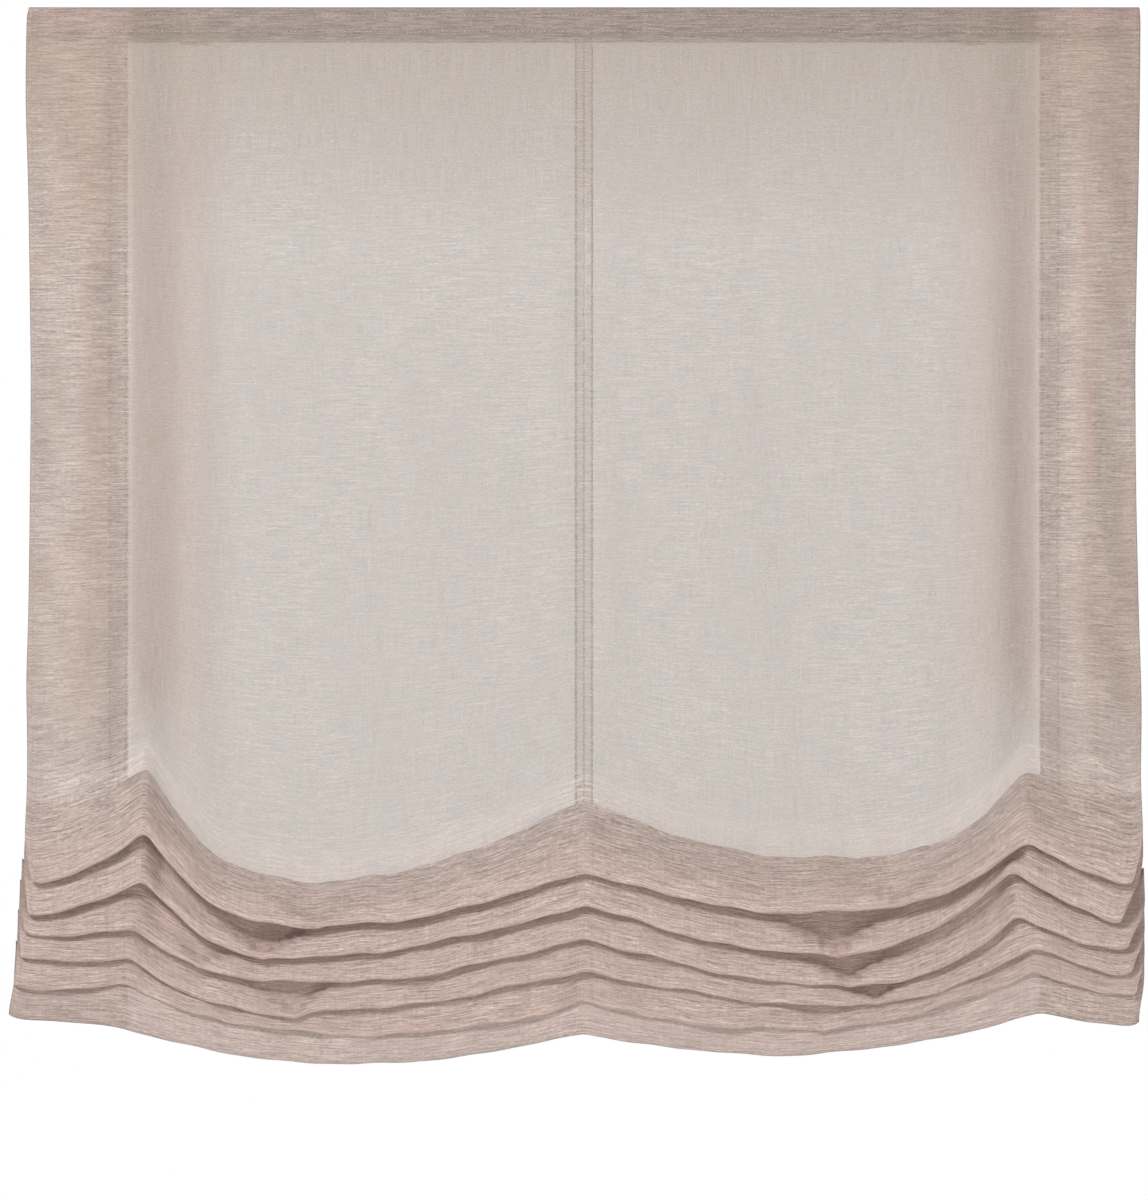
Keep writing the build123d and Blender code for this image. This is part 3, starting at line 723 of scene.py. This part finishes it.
def make_studio():
    """White room light, a pale floor far below, and three soft lamps.

    The key is in front, high on the left, the warm fill in front, low on the right, and the
    weakest one behind.
    """
    world = bpy.data.worlds.new("studio")
    bpy.context.scene.world = world
    world.use_nodes = True
    nodes, links = world.node_tree.nodes, world.node_tree.links
    ground = nodes["Background"]
    ground.inputs["Color"].default_value = (1, 1, 1, 1)
    ground.inputs["Strength"].default_value = 0.40
    seen = nodes.new("ShaderNodeBackground")
    seen.inputs["Color"].default_value = (1, 1, 1, 1)
    seen.inputs["Strength"].default_value = 1.0
    path = nodes.new("ShaderNodeLightPath")
    mixed = nodes.new("ShaderNodeMixShader")
    links.new(path.outputs["Is Camera Ray"], mixed.inputs["Fac"])
    links.new(ground.outputs["Background"], mixed.inputs[1])
    links.new(seen.outputs["Background"], mixed.inputs[2])
    links.new(mixed.outputs["Shader"], nodes["World Output"].inputs["Surface"])
    area_light("key", (-1.5, -3.1, 1.5), (0, 0, -0.7), (1.1, 0.6), 98)
    area_light("fill", (1.3, -3.6, -0.95), (0, 0, -0.6), (1.5, 0.8), 40, (1.0, 0.93, 0.89))
    area_light("back", (0.8, 3.2, 0.6), (0, 0, -0.5), (1.6, 1.2), 22)
    scene = bpy.context.scene
    scene.view_settings.view_transform = "Standard"
    corners = [(-4, -4, FLOOR_Z), (4, -4, FLOOR_Z), (4, 3, FLOOR_Z), (-4, 3, FLOOR_Z)]
    mesh = bpy.data.meshes.new("floor")
    mesh.from_pydata(corners, [], [(0, 1, 2, 3)])
    floor = bpy.data.objects.new("floor", mesh)
    scene.collection.objects.link(floor)
    look = Look("floor", 0.7)
    paint = [(0.3, (0.80, 0.80, 0.79)), (0.7, (0.84, 0.84, 0.83))]
    look.colour(look.ramp(look.noise((3, 3, 3), 2.0), paint))
    mesh.materials.append(look.material)


# ---------------------------------------------------------------- the cloth

def spaced(stops):
    """Values through the stops, each (end, count) spaced evenly from the last."""
    values = [stops[0]]
    for end, count in stops[1:]:
        values.extend(np.linspace(values[-1], end, count + 1)[1:])
    return np.array(values)


# Bands of painted shade, and of painted light and shade, as (strength, place, width) in millimetres.
SHADED_BANDS = (
    (1.0, -392, 17),
    (0.6, -366, 34),
    (0.9, 396, 13),
    (0.5, 364, 34),
    (0.5, -438, 16),
    (0.7, 454, 6),
    (0.5, 486, 12),
)
# A lit ridge and a shade band beside each outer tape; a lit band and the rail's shadow across the header.
RIDGE_LIGHT_AND_SHADE = ((0.05, -352, 16), (-0.09, -383, 17), (0.05, 352, 16), (-0.08, 384, 15))
RAIL_LIGHT_AND_SHADOW = ((0.09, 11, 5), (-0.10, 27, 6))
# Colour factors of the flat part, the doubled margins and the folds. The first two are a greyer tint with
# painted shade: they darken the cloth where it hangs flat.
HANGING_TINT_AND_SHADE = np.array((0.69, 0.735, 0.735))
MARGIN_TINT_AND_SHADE = np.array((0.83, 0.85, 0.84))
FOLDED_TINT = np.array((0.95, 0.925, 0.925))


def painted_shade_at(x, s):
    """Painted shade, 0 to 1: the cloth turns a darker rose and a little more solid where it is high.

    It lies beside the tapes, under the rail, in the margins and on the folds' insides, where shade falls.
    """
    upper = np.clip((UPPER_DROP - s) / 120, 0, 1)
    # Painted shade beside the tapes.
    beside = bumps(x, SHADED_BANDS)
    beside = beside + 0.22 * np.clip((np.abs(x) - 322) / 40, 0, 1) * np.clip((404 - np.abs(x)) / 7, 0, 1)
    # Painted shade under the rail, fading out 200 mm down.
    under = 0.75 * np.clip(1 - (s - 30) / 170, 0, 1) ** 0.8
    # Rippled patches of painted shade in the doubled margins.
    crinkle = 0.5 + 0.5 * np.sin((x + 0.42 * s) / 15 + 1.4 * np.sin(s / 38)) * np.sin(s / 83 + x / 29)
    margin = 0.5 * np.clip((np.abs(x) - 420) / 20, 0, 1) * crinkle
    phase = np.clip((s - UPPER_DROP) / RING_PITCH, 0, FOLD_COUNT)
    phase = phase - np.floor(phase)
    # Painted shade in the folds, strongest on their insides.
    inside = 1 - bump(phase, 0.47, 0.16)
    inside = np.where(s < UPPER_DROP + 0.6 * RING_PITCH, 0.15, inside)
    bottom = (0.25 + 0.6 * inside) * np.clip((s - UPPER_DROP) / 60, 0, 1) * (s < FULL_DROP - HEM_DROP)
    return np.clip((beside + under + margin) * upper + bottom, 0, 1)


def tint_and_shade_at(x, s):
    """Colour factor of the cloth: greyer where it hangs flat, mauve in the header, warm in the folds, with
    painted light and shade on top of these.
    """
    flat = np.clip((UPPER_DROP + 62 - s) / 70, 0, 1)[..., None]
    margin = np.clip((np.abs(x) - 404) / 6, 0, 1)[..., None]
    # Painted shade, darker towards the top.
    top = np.clip(1 - (s - 25) / 190, 0, 1)[..., None] * (1 - 0.6 * margin)
    header = np.clip((23 - s) / 2, 0, 1)[..., None]
    # Painted shade: the flat part and the margins are darker than the folds.
    hanging = HANGING_TINT_AND_SHADE * (1 - margin) + MARGIN_TINT_AND_SHADE * margin
    warm = (np.clip((np.abs(x) - 325) / 75, 0, 1)[..., None]) * (1 - margin)
    hanging = hanging * (1 + warm * np.array((0.02, -0.01, -0.04)))
    # Painted light and shade beside the outer tapes and across the header.
    hanging = hanging * (1 + (bumps(x, RIDGE_LIGHT_AND_SHADE) + bumps(s, RAIL_LIGHT_AND_SHADOW))[..., None])
    # Painted sheen and shade in the doubled margins: light and dark bands down them, and a rippled patch of
    # light and shade.
    margin_sheen_and_shade = 0.11 * bump(x, -468, 26) * bump(s, 500, 190)
    margin_sheen_and_shade = margin_sheen_and_shade - 0.10 * bump(x, -424, 9) - 0.05 * bump(x, -490, 8)
    margin_sheen_and_shade = margin_sheen_and_shade + 0.07 * bump(x, 446, 15)
    margin_sheen_and_shade = margin_sheen_and_shade - 0.08 * bump(x, 482, 14) * bump(s, 250, 260) - 0.07 * bump(x, 420, 8)
    patch = np.sin(s / 29 + 1.7 * np.sin(x / 17)) * np.sin(s / 47 - x / 23)
    hanging = hanging * (1 + (margin_sheen_and_shade + 0.05 * patch)[..., None] * margin)
    hanging = hanging * (1 - top * np.array((0.12, 0.10, 0.14)))
    hanging = hanging * (1 - header * np.array((0.03, 0.07, 0.03)))
    phase = np.clip((s - UPPER_DROP) / RING_PITCH, 0, FOLD_COUNT)
    # Painted highlight: a lighter band along each fold's lip.
    lip_highlight = bump(phase - np.floor(phase), FRONT_SHARE + 0.03, 0.035) * (s > UPPER_DROP)
    folded = FOLDED_TINT * (1 + 0.28 * lip_highlight[..., None])
    hem = np.clip((s - FULL_DROP + HEM_DROP - 20) / 20, 0, 1)[..., None]
    return flat * hanging + (1 - flat) * folded * (1 - 0.07 * hem)


def make_cloth(material):
    """The whole sheet, in one piece: side hems, header and bottom hem are folded round behind the face."""
    edge, hem = HALF_WIDTH, SIDE_HEM
    left = [-edge - hem, (-edge - EDGE_BEND, 16), (-edge + EDGE_BEND, 6), (-SWAG_END, 36)]
    right = [(SWAG_END, 300), (edge - EDGE_BEND, 36), (edge + EDGE_BEND, 6), (edge + hem, 16)]
    across = spaced(left + right)
    down = [-HEADER_TURN, (-END_BEND, 4), (END_BEND, 4), (UPPER_DROP - 60, 56), (UPPER_DROP, 10)]
    for k in range(FOLD_COUNT):
        start = UPPER_DROP + RING_PITCH * k
        down.append((start + RING_PITCH * FRONT_SHARE, 11))
        down.append((start + RING_PITCH * (FRONT_SHARE + ROUND_SHARE), 5))
        down.append((start + RING_PITCH, 5))
    down.extend([(FULL_DROP - END_BEND, 12), (FULL_DROP + END_BEND, 4), (FULL_DROP + BOTTOM_TURN, 6)])
    along = spaced(down)
    turned_x = np.sign(across) * (2 * edge - np.abs(across))
    x = np.clip(np.where(np.abs(across) > edge, turned_x, across), -edge, edge)
    s = np.where(along < 0, -along, np.where(along > FULL_DROP, 2 * FULL_DROP - along, along))
    side_turn = np.clip((np.abs(across) - edge + EDGE_BEND) / (2 * EDGE_BEND), 0, 1)
    head_turn = np.clip((END_BEND - along) / (2 * END_BEND), 0, 1)
    foot_turn = np.clip((along - FULL_DROP + END_BEND) / (2 * END_BEND), 0, 1)
    grid_x, grid_s = np.meshgrid(x, s)
    turn_x, turn_s = np.meshgrid(side_turn, head_turn + foot_turn)
    points = layered(grid_x, grid_s, LAYER_GAP * (turn_x + 1.6 * turn_s))
    flat_x, flat_s = np.meshgrid(across, along)
    flat = np.stack([flat_x * MM, flat_s * MM, 0 * flat_x], axis=-1)
    cloth = grid_mesh("cloth", points, flat)
    # The painted shade, kept on the mesh's points; it also makes the cloth a little denser.
    dense = cloth.data.attributes.new("painted_shade", "FLOAT", "POINT")
    dense.data.foreach_set("value", painted_shade_at(grid_x, grid_s).reshape(-1).astype(np.float32))
    # Colour factor with painted light and shade, kept on the mesh's points.
    tint_and_shade = cloth.data.attributes.new("tint_and_shade", "FLOAT_VECTOR", "POINT")
    tint_and_shade.data.foreach_set("vector", tint_and_shade_at(grid_x, grid_s).reshape(-1).astype(np.float32))
    finish_piece(cloth, material)
    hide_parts("blind_cloth")


# ---------------------------------------------------------------- tapes and stitching

def mark_selvedge(tape, grid_x):
    """Marks the thicker edges of a tape, where it is sewn down."""
    edge = np.clip((np.abs(grid_x) - TAPE_WIDTH / 2 + 2.4) / 0.6, 0, 1)
    marks = tape.data.attributes.new("selvedge", "FLOAT", "POINT")
    marks.data.foreach_set("value", edge.reshape(-1).astype(np.float32))


def make_tape(side, material):
    """The straight gathering tape behind the cloth, which carries the rings."""
    across = np.linspace(-TAPE_WIDTH / 2, TAPE_WIDTH / 2, 21)
    down = np.linspace(TAPE_TOP, TAPE_END, 170)
    grid_x, grid_z = np.meshgrid(across, down)
    rib = 0.12 * np.cos(grid_x / TAPE_WIDTH * 4 * math.pi)
    depth = TAPE_BACK + 0.3 + rib + 0.10 * np.sin(grid_z / 3.1)
    points = np.stack([(TAPE_X[side] + grid_x) * MM, -depth * MM, grid_z * MM], axis=-1)
    flat = np.stack([grid_x * MM, grid_z * MM, 0 * grid_x], axis=-1)
    tape = grid_mesh("tape_" + side, points, flat)
    mark_selvedge(tape, grid_x)
    finish_piece(tape, material)
    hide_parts("gather_tape_" + side)


def make_folded_tape(side, material):
    """The tape sewn behind the folded part of the cloth, bending with it."""
    across = np.linspace(-TAPE_WIDTH / 2, TAPE_WIDTH / 2, 21)
    start, end = UPPER_DROP + 10, FULL_DROP - HEM_DROP
    down = np.linspace(start, end, 110)
    grid_x, grid_s = np.meshgrid(across, down)
    points = layered(TAPE_X[side] + grid_x, grid_s, 0.55)
    flat = np.stack([grid_x * MM, grid_s * MM, 0 * grid_x], axis=-1)
    tape = grid_mesh("folded_tape_" + side, points, flat)
    mark_selvedge(tape, grid_x)
    finish_piece(tape, material)


STITCH_SHARE, STITCH_THICK = 0.62, 0.55
STITCH_FOOT, STITCH_CROWN = 0.12, 0.45


def make_stitches(name, rows, material):
    """Rows of short threads lying on the face. A row is four arrays: x0, s0, x1 and s1 of each stitch."""
    points, faces, places = [], [], []
    sections = ((0.0, 0.25), (0.2, 1.0), (0.8, 1.0), (1.0, 0.25))
    for x0, s0, x1, s1 in rows:
        start = layered(x0, s0, -STITCH_FOOT)
        end = layered(x1, s1, -STITCH_FOOT)
        middle_point = layered((x0 + x1) / 2, (s0 + s1) / 2, -STITCH_CROWN)
        for a, m, b in zip(start, middle_point, end):
            run = b - a
            size = np.linalg.norm(run)
            if size < 1e-6:
                continue
            run = run / size
            side = np.cross(run, (0.0, -1.0, 0.0))
            if np.linalg.norm(side) < 0.2:
                side = np.cross(run, (1.0, 0.0, 0.0))
            side = side / np.linalg.norm(side)
            out = np.cross(side, run)
            if out[1] > 0:
                out = -out
            base = len(points)
            for at, fat in sections:
                core = a + (b - a) * at
                core = core + (m - (a + b) / 2) * math.sin(math.pi * at)
                half = STITCH_THICK * MM / 2 * fat
                points.append(core - side * half)
                points.append(core + out * half)
                points.append(core + side * half)
                places.extend([(0, at * size, 0)] * 3)
            for j in range(3):
                near, far = base + 3 * j, base + 3 * j + 3
                for i in range(3):
                    n = (i + 1) % 3
                    faces.append((near + i, near + n, far + n, far + i))
    mesh = bpy.data.meshes.new(name)
    mesh.from_pydata([tuple(p) for p in points], [], faces)
    mesh.polygons.foreach_set("use_smooth", [True] * len(mesh.polygons))
    mesh.update()
    piece = bpy.data.objects.new(name, mesh)
    bpy.context.scene.collection.objects.link(piece)
    return finish_piece(piece, material)


def down_row(x, s_start, s_end, pitch, wobble, seed):
    """One row of stitches down the cloth at x."""
    starts = np.arange(s_start, s_end - pitch, pitch)
    line = x + wobble * waves(starts, seed, ((90, 0.6), (37, 0.3)))
    return line, starts, line, starts + pitch * STITCH_SHARE


def across_row(s, pitch, wobble, seed):
    """One row of stitches across the cloth at s."""
    starts = np.arange(-HALF_WIDTH + 4, HALF_WIDTH - 4 - pitch, pitch)
    line = s + wobble * waves(starts, seed, ((140, 0.4), (51, 0.3)))
    return starts, line, starts + pitch * STITCH_SHARE, line


def make_all_stitches(material):
    for side in SIDES:
        rows = []
        for offset in (-1, 1):
            x = TAPE_X[side] + offset * (TAPE_WIDTH / 2 - 1.2)
            rows.append(down_row(x, 26, FULL_DROP - HEM_DROP, 4.2, 0.6, 200 + offset))
        make_stitches("stitches_" + side, rows, material)
    header = [across_row(7.5, 4.0, 0.8, 210), across_row(21.5, 4.0, 0.8, 211)]
    make_stitches("stitches_header", header, material)
    hems = []
    for sign in (-1, 1):
        hems.append(down_row(sign * (HALF_WIDTH - 4.5), 4, FULL_DROP - 3, 4.6, 0.8, 220 + sign))
    make_stitches("stitches_side", hems, material)


# ---------------------------------------------------------------- hook and loop strips

def make_strip(node, material, slot, seed):
    """A soft strip with rounded edges and an uneven pile, in its CAD solid's place."""
    low, high = cad_box(node)
    length, deep, tall = (high[i] - low[i] for i in range(3))
    centre_y, centre_z = (low[1] + high[1]) / 2, (low[2] + high[2]) / 2
    pick = np.random.default_rng(seed)
    around = np.linspace(0, 2 * math.pi, 40, endpoint=False)
    power = 0.35
    ring_y = np.sign(np.cos(around)) * np.abs(np.cos(around)) ** power * deep / 2
    ring_z = np.sign(np.sin(around)) * np.abs(np.sin(around)) ** power * tall / 2
    steps = np.linspace(low[0], high[0], 520)
    rough = 1 - 0.10 * pick.random((len(steps), len(around)))
    rough[0], rough[-1] = 0.05, 0.05
    x = np.repeat(steps[:, None], len(around), axis=1)
    y = centre_y + ring_y[None, :] * rough
    z = centre_z + ring_z[None, :] * np.where(rough < 0.5, rough, 1 - 0.1 * (1 - rough))
    points = np.stack([x * MM, y * MM, z * MM], axis=-1)
    flat = np.stack([x * MM, z * MM, 0 * x], axis=-1)
    strip = grid_mesh(slot + "_strip", points, flat, closed=True)
    finish_piece(strip, material)
    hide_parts(node)


# ---------------------------------------------------------------- cords

CORD_RADIUS = 0.7
CORD_DEPTH, CORD_SPACING = 17.5, 1.8
CORD_LINE = -0.95
CORD_FOOT = -835.45
LOCK_X, LOCK_FLOOR = 466.0, -27
TAIL_Y, TAIL_SPREAD = -15, 2.5
BELL_X, BELL_TOP = 458.0, -730.0
BELL_KNOT_DROP, BELL_KNOT_STEP = 5.65, 3.52
KNOT_WIDE, KNOT_TALL, KNOT_CORD = 0.34, 0.75, 0.62


def cord_route(sign):
    """The CAD route's corners, with an extra point either side of each wheel, in millimetres."""
    depth = -(CORD_DEPTH - CORD_SPACING * sign)
    x = TAPE_X[SIDES[sign + 1]]
    tail_end = BELL_TOP - BELL_KNOT_DROP - (sign + 1) * BELL_KNOT_STEP
    spread = sign * TAIL_SPREAD
    near = 8.4
    return [
        (x, depth, CORD_FOOT),
        (x, depth, CORD_LINE - near),
        (x, depth, CORD_LINE),
        (x + near, depth, CORD_LINE),
        (LOCK_X - near, depth, CORD_LINE),
        (LOCK_X, depth, CORD_LINE),
        (LOCK_X, depth, CORD_LINE - near),
        (LOCK_X, depth, LOCK_FLOOR),
        (LOCK_X + spread, TAIL_Y, -67.5),
        (BELL_X + spread, TAIL_Y, -702),
        (BELL_X + spread, TAIL_Y, tail_end),
    ]


def make_knot(name, place, material):
    """A small overhand knot: a closed trefoil of cord drawn tight."""
    data = bpy.data.curves.new(name, "CURVE")
    data.dimensions = "3D"
    data.bevel_depth = KNOT_CORD * MM
    data.bevel_resolution = 3
    spline = data.splines.new("NURBS")
    count = 18
    spline.points.add(count - 1)
    for i in range(count):
        a = 2 * math.pi * i / count
        x = math.sin(a) + 2 * math.sin(2 * a)
        y = math.cos(a) - 2 * math.cos(2 * a)
        z = -math.sin(3 * a)
        offset = (x * KNOT_WIDE * MM, y * KNOT_WIDE * MM, z * KNOT_TALL * MM)
        spline.points[i].co = (*(p + o for p, o in zip(place, offset)), 1)
    spline.use_cyclic_u = True
    spline.order_u = 4
    knot = bpy.data.objects.new(name, data)
    bpy.context.scene.collection.objects.link(knot)
    return finish_piece(knot, material)


def make_cord(sign, material):
    side = SIDES[sign + 1]
    data = bpy.data.curves.new("cord_" + side, "CURVE")
    data.dimensions = "3D"
    data.bevel_depth = CORD_RADIUS * MM
    data.bevel_resolution = 2
    data.resolution_u = 10
    route = [tuple(v * MM for v in p) for p in cord_route(sign)]
    spline = data.splines.new("NURBS")
    spline.points.add(len(route) - 1)
    for point, place in zip(spline.points, route):
        point.co = (*place, 1)
    spline.order_u = 3
    spline.use_endpoint_u = True
    cord = bpy.data.objects.new("cord_" + side, data)
    bpy.context.scene.collection.objects.link(cord)
    finish_piece(cord, material)
    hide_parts("lift_cord_" + side)
    knots = [
        make_knot("knot_%s_low" % side, route[0], material),
        make_knot("knot_%s_bell" % side, route[-1], material),
    ]


# ---------------------------------------------------------------- finishes of the CAD parts

def dress_cad():
    """Gives every CAD node that stays its own procedural finish."""
    white_cap = plastic_look("cap_plastic", (0.82, 0.82, 0.81), 0.42)
    guide = plastic_look("guide_plastic", (0.80, 0.80, 0.78), 0.45)
    wheel = plastic_look("wheel_plastic", (0.72, 0.72, 0.69), 0.35, 0.2)
    ring = plastic_look("ring_plastic", (0.78, 0.74, 0.70), 0.3, 0.3)
    bracket = steel_look("bracket_steel", (0.72, 0.72, 0.73), (40, 900, 900))
    clamp = steel_look("clamp_steel", (0.66, 0.66, 0.68), (900, 60, 900), 0.36)
    pin = steel_look("pin_steel", (0.60, 0.60, 0.62), (1200, 60, 1200), 0.25)
    looks = [
        ("headrail", rail_look()),
        ("end_cap", white_cap),
        ("ring_", ring),
        ("cord_anchor", ring),
        ("wall_bracket", bracket),
        ("clamp_", clamp),
        ("cord_guide", guide),
        ("guide_wheel", wheel),
        ("guide_pin", pin),
        ("cord_lock_body", guide),
        ("cord_lock_wheel", wheel),
        ("cord_lock_pin", pin),
        ("cord_lock_roller", brass_look()),
        ("pull_bell", bell_look()),
    ]
    for name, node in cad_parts.items():
        for start, material in looks:
            if name.startswith(start):
                node.data.materials.clear()
                node.data.materials.append(material)


# ---------------------------------------------------------------- the whole scene

make_camera()
cord_material = cord_look()
for sign in (-1, 0, 1):
    make_cord(sign, cord_material)
make_studio()
make_cloth(voile_look())
tape_material = tape_look()
for side in SIDES:
    make_tape(side, tape_material)
    make_folded_tape(side, tape_material)
make_all_stitches(thread_look())
make_strip("hook_strip", strip_look("hook_tape", (0.72, 0.71, 0.69), 1400), "hook_tape", 301)
make_strip("loop_strip", strip_look("loop_tape", (0.46, 0.42, 0.43), 800), "loop_tape", 302)
dress_cad()
